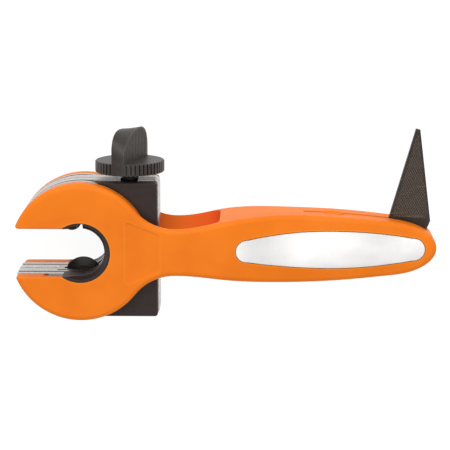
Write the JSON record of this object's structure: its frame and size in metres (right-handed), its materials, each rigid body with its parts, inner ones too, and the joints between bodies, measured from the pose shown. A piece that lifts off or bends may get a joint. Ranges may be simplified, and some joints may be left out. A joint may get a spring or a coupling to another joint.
{
  "type": "ratcheting tube cutter",
  "caption": "Open-mouth ratcheting pipe and tube cutter with forked handle, rotating cutter head, feed knob and fold-out reamer.",
  "frame": {"origin": "on the axis of the tube that is cut, at the middle of the tool's thickness", "axes": "+X along the handle, away from the mouth; +Z along the tube, out of the front jaw plate; +Y towards the feed knob"},
  "size_m": [0.2119, 0.0953, 0.042],
  "materials": {
    "handle": "orange powder coat, satin",
    "inlay": "brushed lengthwise",
    "fastener": "zinc plated",
    "head_body": "satin cast metal",
    "head_cover": "moulded, matt black",
    "side_plate": "satin",
    "ratchet": "hardened steel",
    "pin": "ground steel",
    "spring": "spring steel",
    "roller": "blackened steel",
    "carrier": "ground steel",
    "wheel": "dark hardened steel",
    "screw": "plated steel",
    "knob": "moulded, fine grain",
    "reamer": "dark hardened steel, file cut"
  },
  "bodies": {
    "handle": {"front_handle_shell": "handle", "rear_handle_shell": "handle", "front_inlay": "inlay", "rear_inlay": "inlay", "handle_screws": "fastener", "pawl_pins": "pin", "upper_pawl_spring": "spring", "lower_pawl_spring": "spring", "reamer_pin": "pin", "reamer_spring": "spring"},
    "cutter_head": {"head_front_body": "head_body", "head_rear_body": "head_body", "front_hub_cover": "head_cover", "rear_hub_cover": "head_cover", "front_side_plate": "side_plate", "rear_side_plate": "side_plate", "head_screws": "fastener", "ratchet_ring": "ratchet", "ratchet_dowels": "pin", "roller_pins": "pin"},
    "upper_pawl": {"upper_pawl": "ratchet"},
    "lower_pawl": {"lower_pawl": "ratchet"},
    "left_roller": {"left_roller": "roller"},
    "right_roller": {"right_roller": "roller"},
    "wheel_slide": {"wheel_carrier": "carrier", "wheel_pin": "pin"},
    "cutter_wheel": {"cutter_wheel": "wheel"},
    "knob": {"feed_knob": "knob", "feed_screw": "screw"},
    "reamer": {"reamer_blade": "reamer"}
  },
  "joints": [
    {"name": "head_ratchet", "type": "hinge", "parent": "handle", "child": "cutter_head", "pos_m": [0, 0, 0], "axis": [0, 0, 1], "continuous": true},
    {"name": "upper_pawl_pivot", "type": "hinge", "parent": "handle", "child": "upper_pawl", "pos_m": [0.0266, 0.0035, 0], "axis": [0, 0, -1], "range_deg": [0, 8], "stiffness_Nm_per_rad": 0.02, "springref_deg": -5.73, "deforming": ["upper_pawl_spring"]},
    {"name": "lower_pawl_pivot", "type": "hinge", "parent": "handle", "child": "lower_pawl", "pos_m": [0.00807, -0.02559, 0], "axis": [0, 0, -1], "range_deg": [0, 8], "stiffness_Nm_per_rad": 0.02, "springref_deg": -5.73, "deforming": ["lower_pawl_spring"]},
    {"name": "knob_spin", "type": "hinge", "parent": "cutter_head", "child": "knob", "pos_m": [0.0242, 0, 0], "axis": [0, -1, 0], "range_deg": [-1560, 2760]},
    {"name": "wheel_feed", "type": "slide", "parent": "cutter_head", "child": "wheel_slide", "axis": [0, 1, 0], "range_m": [-0.0065, 0.0115]},
    {"name": "wheel_spin", "type": "hinge", "parent": "wheel_slide", "child": "cutter_wheel", "pos_m": [0, -0.0156, 0], "axis": [0, 0, 1], "continuous": true},
    {"name": "left_roller_spin", "type": "hinge", "parent": "cutter_head", "child": "left_roller", "pos_m": [-0.00525, 0.0138, 0], "axis": [0, 0, 1], "continuous": true},
    {"name": "right_roller_spin", "type": "hinge", "parent": "cutter_head", "child": "right_roller", "pos_m": [0.00525, 0.0138, 0], "axis": [0, 0, 1], "continuous": true},
    {"name": "reamer_fold", "type": "hinge", "parent": "handle", "child": "reamer", "pos_m": [0.1681, 0.0035, 0], "axis": [0, 0, 1], "range_deg": [0, 78]}
  ],
  "couplings": [
    {"joint": "wheel_feed", "follows": "knob_spin", "m_per_rad": 0.00023873}
  ]
}
